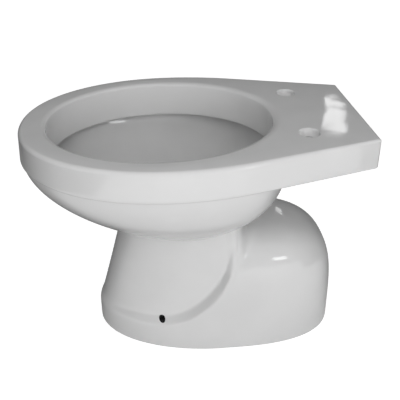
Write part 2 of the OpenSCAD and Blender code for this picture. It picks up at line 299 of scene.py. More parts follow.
FRONT_ANGLES = even_front_angles()


def corner_centre(off, radius):
    """Middle of the rear corner's round, which touches the straight side and the rear edge."""
    y = HALF_L + off - radius
    across = FLANK_R + off - radius - (y - WIDEST_Y) * math.sin(FLANK_END)
    return FLANK_CENTRE[0] + across / math.cos(FLANK_END), y


def rim_outline(off):
    """The rim's outline, moved outward by off, with the same number of points for any off."""
    corner_angles = np.linspace(FLANK_END, math.pi / 2, CORNER_STEPS, endpoint=False)
    flank_end = arc(FLANK_CENTRE, FLANK_R + off, np.array([FLANK_END]))
    turn_r = max(CORNER_R + off, INNER_CORNER_R)
    turn = corner_centre(off, turn_r)
    corner_start = arc(turn, turn_r, np.array([FLANK_END]))
    corner_end = arc(turn, turn_r, np.array([math.pi / 2]))
    half = np.concatenate([
        front_curve(FRONT_ANGLES, off),
        arc(FLANK_CENTRE, FLANK_R + off, np.linspace(0, FLANK_END, FLANK_STEPS, endpoint=False)),
        lerp(flank_end, corner_start, np.linspace(0, 1, STRAIGHT_STEPS, endpoint=False)[:, None]),
        arc(turn, turn_r, corner_angles),
        lerp(corner_end, corner_end * (0, 1), np.linspace(0, 1, REAR_STEPS + 1)[:, None]),
    ])
    return np.concatenate([half, (half * (-1, 1))[-2:0:-1]])


RIM_BASE = rim_outline(0)
RIM_INWARD = RIM_BASE - rim_outline(-1 * MM)
EDGE_R = np.interp(RIM_BASE[:, 1], EDGE_PLACES, EDGE_RADII)
AT_REAR = np.clip((RIM_BASE[:, 1] - HALF_L + CORNER_R) / CORNER_R, 0, 1)


def edge_ring(turn):
    """A ring of the rim's rounded top edge, at an angle from its outside, 0, to its top."""
    inward = EDGE_R * (1 - math.cos(turn))
    points = RIM_BASE - RIM_INWARD * (inward / MM)[:, None]
    points[:, 1] += REAR_REACH * AT_REAR
    return raised(points, DECK_EDGE_Z - EDGE_R * (1 - math.sin(turn)))


FROM_FRONT = np.clip((RIM_BASE[:, 1] + HALF_L) / (2 * HALF_L), 0, 1)
ROLL_W = lerp(ROLL_FRONT_W, ROLL_REAR_W, FROM_FRONT)
ROLL_H = lerp(ROLL_FRONT_H, ROLL_REAR_H, FROM_FRONT)


def open_outline(off):
    """The opening's outline, moved outward by one length or by one for each point."""
    a = np.arctan2(RIM_BASE[:, 1] - OPEN_Y, RIM_BASE[:, 0])
    half_l = OPEN_HALF_L + off
    r = egg_r(np.cos(a), np.sin(a), OPEN_HALF_W + off, half_l, half_l, OPEN_FULL, OPEN_FULL)
    return np.stack([r * np.cos(a), OPEN_Y + r * np.sin(a)], -1)


def bowl_top_outline(off):
    """The bowl's outline under the rim, with as many points as the rim's outline."""
    a = np.arctan2(RIM_BASE[:, 1] - WIDEST_Y, RIM_BASE[:, 0])
    r = bowl_r(np.cos(a), np.sin(a), 0.0, off)
    return np.stack([r * np.cos(a), WIDEST_Y + r * np.sin(a)], -1)


# The bowl, at shares of its depth from 0 at the rim's band to 1 at the throat

def side_share(depth):
    """How wide the bowl still is, from 1 at the band to 0 at the throat."""
    return np.clip(1 - depth ** SIDE_SWELL, 0, 1) ** THROAT_TURN


def front_share(depth):
    """How far the bowl still reaches forward, from 1 at the band to 0 at the throat."""
    return np.clip(1 - depth ** FRONT_SWELL, 0, 1) ** THROAT_TURN


def bowl_y(depth):
    return WIDEST_Y * side_share(depth)


def bowl_half_w(depth):
    return lerp(THROAT_R, BOWL_HALF_W, side_share(depth))


def bowl_r(c, s, depth, off):
    """Radius of the bowl's outline at a depth, moved outward by off."""
    front_y = lerp(-THROAT_R, WIDEST_Y - BOWL_FRONT, front_share(depth))
    rear_y = lerp(THROAT_R, BOWL_REAR, side_share(depth))
    middle = bowl_y(depth)
    return egg_r(
        c, s, bowl_half_w(depth) + off, middle - front_y + off, rear_y - middle + off,
        lerp(2, FRONT_FULL, side_share(depth)), lerp(2, BOWL_REAR_FULL, side_share(depth)))


def bowl_lean(depth):
    """The angle by which the bowl's side leans at this depth."""
    low, high = min(1.0, depth + LEAN_STEP), max(0.0, depth - LEAN_STEP)
    return math.atan2(bowl_half_w(high) - bowl_half_w(low), BOWL_D * (low - high))


def bowl_ring(depth, wall):
    """A ring of the bowl's skin, moved inward by wall at a right angle to the skin."""
    a = np.linspace(0, 2 * math.pi, AROUND, endpoint=False)
    lean = bowl_lean(depth) if depth > 0 else 0.0
    r = bowl_r(np.cos(a), np.sin(a), depth, -wall * math.cos(lean))
    z = BAND_Z - BOWL_D * depth + wall * math.sin(lean)
    return np.stack([r * np.cos(a), bowl_y(depth) + r * np.sin(a), np.full(AROUND, z)], -1)


def bowl_radius_about(c, s, z):
    """Distance from the hump's middle line to the bowl's skin towards (c, s)."""
    depth = np.clip((BAND_Z - z) / BOWL_D, 0, 1)

    def is_outside(reach):
        x, y = reach * c, BODY_Y + reach * s - bowl_y(depth)
        away = np.hypot(x, y) + TINY
        return away >= bowl_r(x / away, y / away, depth, 0)

    return halve(np.zeros_like(z), np.full_like(z, FAR_OUT), is_outside)


# The hump, the foot and the column

def body_r(c, s, z, off):
    """Radius of the hump and its flared foot at a height, moved inward by off."""
    share = np.clip(z / (HUMP_H - off), 0, 1)
    plan = egg_r(c, s, BODY_HALF_W - off, BODY_FRONT - off, BODY_REAR - off, 2, BODY_REAR_FULL)
    return plan * (1 - share ** HUMP_FULL) ** (1 / HUMP_FULL) * (1 + FOOT_FLARE * (1 - share))


def column_half_w(z):
    return lerp(COLUMN_LOW, COLUMN_HIGH, z / HUMP_H)


def column_front(z):
    """How far the column's hollow front edge reaches ahead of the middle line."""
    return lerp(COLUMN_FRONT_LOW, COLUMN_FRONT_HIGH, z / HUMP_H) - COLUMN_HOLLOW * arch(z / HUMP_H)


def column_r(c, s, z, off):
    """Radius of the column at a height, moved inward by off."""
    return egg_r(c, s, column_half_w(z) - off, column_front(z) - off, COLUMN_REAR - off,
                 COLUMN_FULL, COLUMN_REAR_FULL)


def sweep_z(y, grow_l, grow_h):
    """Height of the shoulder's sweep: level at SWEEP_Y, rising behind it and sinking ahead of it."""
    t = np.clip((y - SWEEP_Y) / (SWEEP_L + grow_l), 0, 1)
    ahead = np.clip((SWEEP_Y - y) / FRONT_REACH, 0, 1)
    return SHOULDER_H + SWEEP_H - (SWEEP_H + grow_h) * np.sqrt(1 - t * t) - FRONT_DROP * ahead * ahead


def bell(sigma):
    """Weights of a bell curve, and how many steps it reaches to each side."""
    reach = int(3 * sigma) + 1
    weights = np.exp(-0.5 * (np.arange(-reach, reach + 1) / sigma) ** 2)
    return reach, weights / weights.sum()


def soften_round(line, sigma_steps):
    """Rounds the profiles' corners from one direction to the next."""
    reach, weights = bell(sigma_steps)
    return sum(w * np.roll(line, reach - k, axis=1) for k, w in enumerate(weights))


def soften(line, sigma_rows):
    """Rounds the corners of profiles (rows, columns, 2) along their rows, with their ends kept."""
    reach, weights = bell(sigma_rows)
    start = 2 * line[:1] - line[reach:0:-1]
    end = 2 * line[-1:] - line[-2:-reach - 2:-1]
    padded = np.concatenate([start, line, end])
    return sum(w * padded[k:k + len(line)] for k, w in enumerate(weights))


def resampled(points, count):
    """A profile of (radius, height) points at even steps of its length."""
    along = lengths_along(points)
    at = np.linspace(0, along[-1], count)
    return np.stack([np.interp(at, along, points[:, k]) for k in (0, 1)], -1)


def crowded_angles():
    """Directions round the pedestal, closer together where the sweep stands upright."""
    fine = np.linspace(0, 2 * math.pi, 2 * FINE_POINTS)
    crowd = sum(np.exp(-((fine - at) / CROWD_WIDTH) ** 2) for at in (CROWD_AT, math.pi - CROWD_AT))
    along = np.concatenate([[0], np.cumsum((1 + CROWD * (crowd[1:] + crowd[:-1]) / 2))])
    return np.interp(np.arange(AROUND) / AROUND * along[-1], along, fine)


PEDESTAL_ANGLES = crowded_angles()


def hump_line(c, s, limit, off):
    """One profile of the hump from the floor up to the ledge, at the angle limit."""
    spread = np.sin(limit * np.linspace(0, 1, HUMP_POINTS))
    z = (HUMP_H - off) * spread ** (2 / HUMP_FULL)
    return np.stack([body_r(c, s, z, off), z], -1)


def column_line(c, s, z, off):
    return np.stack([column_r(c, s, z, off), z], -1)


def skirt_line(c, s, top, reach):
    """A short line that starts proud of the bowl's skin and dives into its wall."""
    z = top + SKIRT_RISE * reach
    on_skin = bowl_radius_about(np.full_like(z, c), np.full_like(z, s), z)
    inside = (SKIRT_PROUD + SKIRT_DIVE) * reach - SKIRT_PROUD
    return np.stack([on_skin - inside, z + inside], -1)


def blended(low, column, skirt):
    """The profile with the corner between the hump and the bowl filled by one curve."""
    along = lengths_along(low)
    kept = low[along < along[-1] - BLEND_LOW]
    start, end = kept[-1], skirt[-SKIRT_KEPT]
    t = np.linspace(0, 1, BLEND_POINTS)[1:-1, None]
    first, last = lerp(start, low[-1], BLEND_TIGHT), lerp(end, column[-1], BLEND_TIGHT)
    curve = (1 - t) ** 3 * start + 3 * t * (1 - t) ** 2 * first + 3 * t * t * (1 - t) * last + t ** 3 * end
    return np.concatenate([kept, curve, skirt[-SKIRT_KEPT:]])


def onto_bowl(low, column, c, s, top):
    """A whole outer profile: the column running on into the bowl, or, behind, the blended curve."""
    reach = np.linspace(0, 1, SKIRT_POINTS)[1:]
    run_on = column_line(c, s, top + RUN_ON * reach, 0)
    plain = resampled(np.concatenate([low, column, run_on]), PROFILE_ROWS)
    curved = resampled(blended(low, column, skirt_line(c, s, top, reach)), PROFILE_ROWS)
    behind = np.clip((BODY_Y + s * low[-1, 0] - BLEND_FROM) / (BLEND_TO - BLEND_FROM), 0, 1)
    return lerp(plain, curved, eased(behind))


def pedestal_profiles(off):
    """Profiles (rows, AROUND, 2) of radius and height, of the outer skin at 0 or of an inner one."""
    c, s = np.cos(PEDESTAL_ANGLES), np.sin(PEDESTAL_ANGLES)
    floor = np.zeros(AROUND)
    top = halve(floor + BAND_Z - BOWL_D, floor + BAND_Z,
                lambda z: column_r(c, s, z, off) < bowl_radius_about(c, s, z))
    hump_top = halve(floor, floor + HUMP_H - off,
                     lambda z: body_r(c, s, z, off) < column_r(c, s, z, off))
    ledge_edge = halve(floor, hump_top, lambda z: z > sweep_z(
        BODY_Y + s * body_r(c, s, z, off), LEDGE_W / 2 + off, LEDGE_H / 2 + off))
    ledge_top = halve(ledge_edge, (ledge_edge + top) / 2, lambda z: z > sweep_z(
        BODY_Y + s * column_r(c, s, z, off), off - LEDGE_W / 2, off - LEDGE_H / 2))
    limit = np.arcsin(np.minimum(1, ledge_edge / (HUMP_H - off)) ** (HUMP_FULL / 2))
    lines = []
    for i in range(AROUND):
        low = hump_line(c[i], s[i], limit[i], off)
        column = column_line(c[i], s[i], np.linspace(ledge_top[i], top[i], COLUMN_POINTS), off)
        if off == 0:
            lines.append(onto_bowl(low, column, c[i], s[i], top[i]))
        else:
            lines.append(resampled(np.concatenate([low, column]), INNER_ROWS))
    return np.stack(lines, 1)


def pedestal_rings(profiles):
    """Rings of points round the hump's middle line, one for each row of the profiles."""
    a = PEDESTAL_ANGLES
    r, z = profiles[..., 0], profiles[..., 1]
    return [np.stack([r[k] * np.cos(a), BODY_Y + r[k] * np.sin(a), z[k]], -1) for k in range(len(r))]


# Mesh helpers

def shown(name, data):
    piece = bpy.data.objects.new(name, data)
    bpy.context.scene.collection.objects.link(piece)
    return piece


def finished(name, mesh):
    """A smooth-shaded object for the mesh, in the scene."""
    mesh.polygons.foreach_set("use_smooth", [True] * len(mesh.polygons))
    mesh.update()
    return shown(name, mesh)


def ring_faces(here, there, count):
    """Faces between two rings of count points, whose first points are here and there."""
    step = np.arange(count)
    after = (step + 1) % count
    return np.stack([here + step, here + after, there + after, there + step], -1).tolist()


def ring_mesh(name, rings):
    """A closed solid whose skin runs through the rings, up its outside and down its inside."""
    count = len(rings[0])
    faces = []
    for k in range(len(rings)):
        faces += ring_faces(k * count, (k + 1) % len(rings) * count, count)
    mesh = bpy.data.meshes.new(name)
    mesh.from_pydata(np.concatenate(rings).tolist(), [], faces)
    return finished(name, mesh)


def turned(name, profile, count, place):
    """A closed solid turned round Z from (radius, z) points, moved by a matrix."""
    angles = np.linspace(0, 2 * math.pi, count, endpoint=False)
    points = [place @ Vector((r * math.cos(t), r * math.sin(t), z)) for r, z in profile for t in angles]
    last = (len(profile) - 1) * count
    faces = []
    for k in range(len(profile) - 1):
        faces += ring_faces(k * count, (k + 1) * count, count)
    faces += [list(reversed(range(count))), list(range(last, last + count))]
    mesh = bpy.data.meshes.new(name)
    mesh.from_pydata([tuple(point) for point in points], [], faces)
    return finished(name, mesh)


def take_result(piece):
    """Swaps the piece's mesh for what its modifiers make of it, and removes them."""
    bpy.context.view_layer.update()
    graph = bpy.context.evaluated_depsgraph_get()
    result = bpy.data.meshes.new_from_object(piece.evaluated_get(graph))
    piece.modifiers.clear()
    piece.data = result


def combine(piece, tool, operation):
    """Joins the tool to the piece, or cuts it out, and takes the tool away."""
    modifier = piece.modifiers.new(operation, "BOOLEAN")
    modifier.operation = operation
    modifier.solver = "EXACT"
    modifier.object = tool
    take_result(piece)
    bpy.data.objects.remove(tool)


def smooth_by_angle(piece, degrees):
    """Shades the piece smooth, with hard edges only where it folds by more than the angle."""
    made = bmesh.new()
    made.from_mesh(piece.data)
    for edge in made.edges:
        edge.smooth = len(edge.link_faces) == 2 and edge.calc_face_angle(0) < math.radians(degrees)
    for face in made.faces:
        face.smooth = True
    made.to_mesh(piece.data)
    made.free()


# Node trees

SEEING_RAYS = ("Is Camera Ray", "Is Glossy Ray", "Is Transmission Ray")

# Places of a colour Mix node's sockets, which share their names with its other kinds
MIX_FACTOR, MIX_LOW, MIX_HIGH, MIX_RESULT = 0, 6, 7, 2


def grey(tone):
    return (tone, tone, tone, 1)


class Value:
    """A socket in a node tree that takes part in Python arithmetic."""

    def __init__(self, tree, socket):
        self.tree, self.socket = tree, socket

    def _math(self, operation, *values):
        return self.tree.add("ShaderNodeMath", {"operation": operation}, dict(enumerate(values)))

    def __add__(self, other):
        return self._math("ADD", self, other)

    __radd__ = __add__

    def __sub__(self, other):
        return self._math("SUBTRACT", self, other)

    def __rsub__(self, other):
        return self._math("SUBTRACT", other, self)

    def __mul__(self, other):
        return self._math("MULTIPLY", self, other)

    __rmul__ = __mul__

    def __truediv__(self, other):
        return self._math("DIVIDE", self, other)

    def __rtruediv__(self, other):
        return self._math("DIVIDE", other, self)

    def __mod__(self, other):
        return self._math("MODULO", self, other)

    def __rmod__(self, other):
        return self._math("MODULO", other, self)

    def sine(self):
        return self._math("SINE", self)

    def cosine(self):
        return self._math("COSINE", self)

    def between(self, low, high):
        """0 below low and 1 above high, smooth between them."""
        return self.tree.add("ShaderNodeMapRange", {"interpolation_type": "SMOOTHSTEP"},
                             {"Value": self, "From Min": low, "From Max": high})


class Tree:
    """A node tree that is filled through wrapped sockets."""

    def __init__(self, node_tree):
        self.nodes, self.links = node_tree.nodes, node_tree.links

    def node(self, kind, settings=None, sockets=None):
        """A node of a type, with its settings and then the values or links of its sockets."""
        node = self.nodes.new(kind)
        for key, value in (settings or {}).items():
            setattr(node, key, value)
        for key, value in (sockets or {}).items():
            self.put(node.inputs[key], value)
        return node

    def add(self, kind, settings=None, sockets=None, output=0):
        """A node like that, given as one of its outputs."""
        return Value(self, self.node(kind, settings, sockets).outputs[output])

    def put(self, socket, value):
        if isinstance(value, Value):
            self.links.new(value.socket, socket)
        else:
            socket.default_value = value

    def vector(self, operation, first, second):
        """Vector maths with two vectors, or with a vector and a scale."""
        second_socket = "Scale" if operation == "SCALE" else 1
        return self.add("ShaderNodeVectorMath", {"operation": operation}, {0: first, second_socket: second})

    def blend(self, factor, low, high):
        """The colour low where the factor is 0, and high where it is 1."""
        return self.add("ShaderNodeMix", {"data_type": "RGBA"},
                        {MIX_FACTOR: factor, MIX_LOW: low, MIX_HIGH: high}, MIX_RESULT)

    def seen(self, colour, mirrored=1.0):
        """The colour for the camera, a share of it for mirrors and glass, and black for other rays."""
        rays = self.node("ShaderNodeLightPath").outputs
        camera, glossy, through = (Value(self, rays[name]) for name in SEEING_RAYS)
        return self.blend(camera + (glossy + through) * mirrored, grey(0), colour)


# A pipe round a path, made by geometry nodes

PIPE_INPUTS = {
    "Path": "NodeSocketGeometry",
    "Outer Radius": "NodeSocketFloat",
    "Inner Radius": "NodeSocketFloat",
    "Steps Round": "NodeSocketInt",
    "Material": "NodeSocketMaterial",
}


def make_pipe_tree():
    """Nodes that put a ring round each point of a closed path and join the rings and their seam."""
    group = bpy.data.node_groups.new("pipe_round_path", "GeometryNodeTree")
    for name, kind in PIPE_INPUTS.items():
        group.interface.new_socket(name, in_out="INPUT", socket_type=kind)
    group.interface.new_socket("Pipe", in_out="OUTPUT", socket_type="NodeSocketGeometry")
    tree = Tree(group)
    given = tree.node("NodeGroupInput").outputs
    path, outer, inner, steps, material = (Value(tree, given[name]) for name in PIPE_INPUTS)
    rows = tree.add("GeometryNodeAttributeDomainSize", {"component": "MESH"}, {"Geometry": path})
    grid = tree.add("GeometryNodeMeshGrid", {}, {"Vertices X": steps + 1, "Vertices Y": rows + 1})
    index = tree.add("GeometryNodeInputIndex")
    row = index % (rows + 1)
    turn = (index - row) / (rows + 1) * (2 * math.pi) / steps

    def sampled(field, kind):
        return tree.add("GeometryNodeSampleIndex", {"data_type": kind},
                        {"Geometry": path, "Value": field, "Index": row % rows})

    def stored(name, kind):
        field = tree.add("GeometryNodeInputNamedAttribute", {"data_type": kind}, {"Name": name})
        return sampled(field, kind)

    reach = (outer - inner) * stored("share", "FLOAT") + inner + stored("extra", "FLOAT")
    upward = tree.vector("SCALE", stored("side", "FLOAT_VECTOR"), turn.sine() * reach)
    across = tree.add("ShaderNodeCombineXYZ", {}, {0: turn.cosine() * reach})
    middle = sampled(tree.add("GeometryNodeInputPosition"), "FLOAT_VECTOR")
    place = tree.vector("ADD", middle, tree.vector("ADD", upward, across))
    skin = tree.add("GeometryNodeSetPosition", {}, {"Geometry": grid, "Position": place})
    skin = tree.add("GeometryNodeMergeByDistance", {}, {"Geometry": skin, "Distance": SEAM_GAP})
    skin = tree.add("GeometryNodeSetShadeSmooth", {}, {0: skin})
    skin = tree.add("GeometryNodeRealizeInstances", {}, {0: skin})
    skin = tree.add("GeometryNodeSetMaterial", {}, {"Geometry": skin, "Material": material})
    tree.node("NodeGroupOutput", {}, {"Pipe": skin})
    return group


def pipe_rows(last, extra, lip):
    """Rings as (point of the path, share of the outer radius, extra radius, shift along the path)."""
    outer, inner = extra
    rows = [(k, 1.0, outer[k], 0.0) for k in range(last)]
    rows += [(last, 1.0, outer[last] - lip * (1 - math.cos(t)), -lip * (1 - math.sin(t)))
             for t in quarter(SMALL_LIP_POINTS)]
    rows += [(last, 0.0, inner[last] + lip * (1 - math.sin(t)), -lip * (1 - math.cos(t)))
             for t in quarter(SMALL_LIP_POINTS)]
    return rows + [(k, 0.0, inner[k], 0.0) for k in reversed(range(last))]


def store(mesh, name, kind, values):
    """Gives each point of a path its value for the pipe's nodes."""
    field = "vector" if kind == "FLOAT_VECTOR" else "value"
    mesh.attributes.new(name, kind, "POINT").data.foreach_set(field, np.ravel(values))


def pipe(name, path, radii, extra, lip, material):
    """A pipe along a path in the YZ plane with a rounded lip at its end; extra widens its two skins."""
    path = np.asarray(path, float)
    along = np.gradient(path, axis=0)
    along /= np.linalg.norm(along, axis=1)[:, None]
    rows = pipe_rows(len(path) - 1, extra, lip)
    mesh = bpy.data.meshes.new(name)
    mesh.from_pydata([(0, *(path[k] + along[k] * shift)) for k, _, _, shift in rows], [], [])
    store(mesh, "share", "FLOAT", [share for _, share, _, _ in rows])
    store(mesh, "extra", "FLOAT", [wider for _, _, wider, _ in rows])
    store(mesh, "side", "FLOAT_VECTOR", [(0, along[k][1], -along[k][0]) for k, _, _, _ in rows])
    piece = shown(name, mesh)
    modifier = piece.modifiers.new("rings", "NODES")
    modifier.node_group = PIPE_TREE
    values = {"Outer Radius": radii[0], "Inner Radius": radii[1],
              "Steps Round": PIPE_AROUND, "Material": material}
    for item in PIPE_TREE.interface.items_tree:
        if item.name in values:
            modifier[item.identifier] = values[item.name]
    take_result(piece)
    smooth_by_angle(piece, FOLD)
    return piece


def bend(y, z, radius, side, angles):
    """Path points round a bend from (y, z) to +Y, which goes over it at side 1 and under it at -1."""
    return [(y + radius * (1 - math.cos(t)), z + side * radius * math.sin(t)) for t in angles]


# The castings

def deck_height(points, across):
    """The deck's top: crowned across the rim, and slightly uneven below its crown, as fired china is."""
    x, y = points[:, 0], points[:, 1]
    uneven = np.sin(x / WAVE_X + START_X) * np.sin(y / WAVE_Y + START_Y)
    uneven += SLANT_SHARE * np.sin((x + y) / WAVE_SLANT + START_SLANT)
    return DECK_EDGE_Z + (DECK_CROWN - UNEVEN * (UNEVEN_MOST + uneven)) * arch(across)


def band_rings():
    """The band's rounded lower lip, and its flared side up to the deck's edge."""
    rings = []
    for t in quarter(SMALL_LIP_POINTS):
        outline = rim_outline(BAND_FLARE - BAND_LIP_R * (1 - math.sin(t)))
        rings.append(raised(outline, BAND_Z + BAND_LIP_R * (1 - math.cos(t))))
    side = np.linspace(0, 1, BAND_ROWS)[1:-1]
    return rings + [lerp(rings[-1], edge_ring(0), t) for t in side]


def deck_rings():
    """The rounded outer edge, the deck, and the roll down into the opening."""
    rings = [edge_ring(t) for t in quarter(EDGE_POINTS)]
    outer, inner = edge_ring(math.pi / 2)[:, :2], open_outline(ROLL_W)
    for t in np.linspace(0, 1, DECK_ROWS)[1:-1]:
        points = lerp(outer, inner, t)
        rings.append(raised(points, deck_height(points, t)))
    for t in quarter(EDGE_POINTS):
        outline = open_outline(ROLL_W * (1 - math.sin(t)))
        rings.append(raised(outline, DECK_EDGE_Z - ROLL_H * (1 - math.cos(t))))
    return rings


def channel_rings():
    """The opening's leaning wall and its lip, and the hollow channel behind them."""
    wall_top = DECK_EDGE_Z - ROLL_H
    rings = []
    for t in np.linspace(0, 1, WALL_ROWS)[1:-1]:
        rings.append(raised(open_outline(-INNER_LEAN * t), lerp(wall_top, LIP_Z + LIP_R, t)))
    for t in quarter(LIP_POINTS):
        outline = open_outline(-INNER_LEAN + LIP_R * (1 - math.cos(t)))
        rings.append(raised(outline, LIP_Z + LIP_R * (1 - math.sin(t))))
    return rings + [
        raised(open_outline(RIM_WALL - INNER_LEAN), LIP_Z + LIP_R / 2),
        raised(open_outline(RIM_WALL), RIM_TOP - RIM_WALL),
        raised(rim_outline(-RIM_WALL), RIM_TOP - RIM_WALL),
        raised(rim_outline(-RIM_WALL), BAND_Z + RIM_WALL),
        raised(bowl_top_outline(-BOWL_WALL), BAND_Z + RIM_WALL),
        raised(bowl_top_outline(-BOWL_WALL), BAND_Z),
    ]


def seat_hole_profile():
    """The seat hole's cutter: straight, then a cup at its mouth, and the cup's small lip."""
    lip_z = DECK_EDGE_Z - SEAT_LIP_R
    cup_r, cup_h = SEAT_MOUTH_R - SEAT_LIP_R - SEAT_HOLE_R, SEAT_MOUTH_H - SEAT_LIP_R
    cup = [(SEAT_HOLE_R + cup_r * math.sin(t), lip_z - cup_h * math.cos(t)) for t in quarter(CUP_POINTS)]
    lip = [(SEAT_MOUTH_R - SEAT_LIP_R * math.cos(t), lip_z + SEAT_LIP_R * math.sin(t))
           for t in quarter(CUP_LIP_POINTS)[1:]]
    below = (SEAT_HOLE_R, BAND_Z - CUTTER_OVER)
    above = (SEAT_MOUTH_R + CUTTER_WIDER, RIM_TOP + CUTTER_OVER)
    return [below, *cup, *lip, above]


def make_rim():
    """The hollow ring and deck, then a collar and a hole at each seat bolt, then the flush entry."""
    rim = ring_mesh("rim_casting", band_rings() + deck_rings() + channel_rings())
    collar_r = SEAT_HOLE_R + COLLAR_WALL
    collar = [(collar_r, BAND_Z + RIM_WALL / 2), (collar_r, RIM_TOP - RIM_WALL / 2)]
    for side in (-1, 1):
        at = Matrix.Translation((side * SEAT_X, SEAT_Y, 0))
        combine(rim, turned("collar", collar, HOLE_AROUND, at), "UNION")
        combine(rim, turned("hole", seat_hole_profile(), HOLE_AROUND, at), "DIFFERENCE")
    entry = [(FLUSH_R, BAND_Z - CUTTER_OVER), (FLUSH_R, BAND_Z + RIM_WALL + CUTTER_OVER)]
    at = Matrix.Translation((0, FLUSH_Y, 0))
    combine(rim, turned("entry", entry, ENTRY_AROUND, at), "DIFFERENCE")
    smooth_by_angle(rim, RIM_FOLD)
    return rim


def make_bowl():
    """The outer skin up from the throat, and the inner skin down again."""
    depths = np.linspace(0, 1, BOWL_ROWS)
    rings = [bowl_ring(depth, 0) for depth in depths[::-1]]
    rings += [bowl_ring(depth, BOWL_WALL) for depth in depths]
    bowl = ring_mesh("bowl_casting", rings)
    smooth_by_angle(bowl, FOLD)
    return bowl


def egg_x(y, half_w, front, n):
    """How far an egg-shaped outline reaches to the side at y, ahead of its middle line."""
    return half_w * (1 - (abs(y - BODY_Y) / front) ** n) ** (1 / n)


def fix_place():
    """Middle of the right fixing hole's mouth, part of the way up the ledge."""
    low = float(sweep_z(FIX_Y, LEDGE_W / 2, LEDGE_H / 2))
    high = float(sweep_z(FIX_Y, -LEDGE_W / 2, -LEDGE_H / 2))
    grow = 1 + FOOT_FLARE * (1 - low / HUMP_H)
    foot_x = egg_x(FIX_Y, BODY_HALF_W * grow, BODY_FRONT * grow, 2)
    column_x = egg_x(FIX_Y, column_half_w(high), column_front(high), COLUMN_FULL)
    return lerp(foot_x, column_x, FIX_UP), FIX_Y, lerp(low, high, FIX_UP)


FIX_PLACE = fix_place()


def softened_skin(outer):
    """The outer profiles with rounded corners, wider ones at the rear and at the front."""
    tight = soften_round(soften(outer, TIGHT_ROWS), TIGHT_STEPS)
    wide = soften_round(soften(outer, WIDE_ROWS), WIDE_STEPS)
    y = BODY_Y + np.sin(PEDESTAL_ANGLES) * BODY_REAR
    width = np.clip((y - WIDE_REAR) / WIDE_REAR_OVER, 0, 1)
    width += np.clip((WIDE_FRONT - y) / WIDE_FRONT_OVER, 0, 1)
    return lerp(tight, wide, width[None, :, None])


def make_pedestal():
    """The casing's two skins, with a rounded edge on the floor and a fixing hole through each side."""
    outer = softened_skin(pedestal_profiles(0))
    for k, t in enumerate(quarter(FOOT_EDGE_POINTS)):
        outer[k, :, 0] = outer[FOOT_EDGE_POINTS, :, 0] - FOOT_EDGE_R * (1 - math.sin(t))
        outer[k, :, 1] = FOOT_EDGE_R * (1 - math.cos(t))
    inner = pedestal_profiles(BODY_WALL)
    pedestal = ring_mesh("pedestal_casting", pedestal_rings(outer) + pedestal_rings(inner)[::-1])
    for side in (-1, 1):
        at = Matrix.Translation((side * FIX_PLACE[0], *FIX_PLACE[1:]))
        turn = Matrix.Rotation(side * math.pi / 2, 4, "Y")
        bore = turned("bore", [(FIX_R, -FIX_CUT), (FIX_R, FIX_CUT)], BORE_AROUND, at @ turn)
        combine(pedestal, bore, "DIFFERENCE")
    smooth_by_angle(pedestal, FOLD)
    return pedestal


def make_flush_inlet():
    """The elbow under the rear of the deck that takes the flush pipe."""
    path = bend(FLUSH_Y, BAND_Z, FLUSH_BEND_R, -1, quarter(FLUSH_BEND_POINTS))
    end_y = FLUSH_Y + FLUSH_BEND_R + FLUSH_RUN
    path += [(y, BAND_Z - FLUSH_BEND_R) for y in np.linspace(path[-1][0], end_y, RUN_POINTS)[1:]]
    plain = [0.0] * len(path)
    radii = (FLUSH_R + FLUSH_WALL, FLUSH_R)
    return pipe("flush_inlet_horn", path, radii, (plain, plain), HORN_LIP_R, glaze)


TRAP_OUTER = TRAP_R + TRAP_WALL
WEIR_R = (TRAP_OUTER + OUTLET_GAP + OUTLET_R) / 2
DIP_Z = DIP_CLEAR + TRAP_OUTER + DIP_R
WEIR_Z = HUMP_H - BODY_WALL - WEIR_CLEAR - TRAP_OUTER - WEIR_R
OUTLET_Y = 2 * DIP_R + 2 * WEIR_R
OUTLET_TOP = OUTLET_LIFT + OUTLET_L
THROAT_Z = BAND_Z - BOWL_D


def make_trapway():
    """The trap's pipe: a funnel under the throat, the dip, the weir and the drop to the outlet."""
    down = np.linspace(0, 1, FUNNEL_POINTS)
    half_turn = np.linspace(0, math.pi, TRAP_BEND_POINTS)
    path = [(0.0, THROAT_Z - FUNNEL_H * t) for t in down]
    path += bend(0.0, DIP_Z, DIP_R, -1, half_turn)
    path += bend(2 * DIP_R, WEIR_Z, WEIR_R, 1, half_turn)
    path += [(OUTLET_Y, OUTLET_TOP)]
    rest = [0.0] * (len(path) - FUNNEL_POINTS)
    outer = [*((THROAT_R - TRAP_OUTER) * (1 - eased(down))), *rest]
    inner = [*((THROAT_R - BOWL_WALL - TRAP_R) * (1 - eased(down))), *rest]
    return pipe("trapway_casting", path, (TRAP_OUTER, TRAP_R), (outer, inner), TRAP_LIP_R, bare_clay)


def make_outlet():
    """The wider horn at the lower end of the trapway, narrow down to its inner shoulder."""
    shoulder = OUTLET_TOP - OUTLET_SHOULDER
    heights = [OUTLET_TOP, OUTLET_TOP - OUTLET_EDGE, shoulder, shoulder - SHOULDER_EDGE]
    heights += list(np.linspace(heights[-1], OUTLET_LIFT, RUN_POINTS)[1:])
    path = [(OUTLET_Y, z) for z in heights]
    inner = [TRAP_R - OUTLET_BORE_R if z >= shoulder else 0.0 for z in heights]
    outer = [0.0] * len(heights)
    return pipe("outlet_horn", path, (OUTLET_R, OUTLET_BORE_R), (outer, inner), HORN_LIP_R, bare_clay)


# Materials

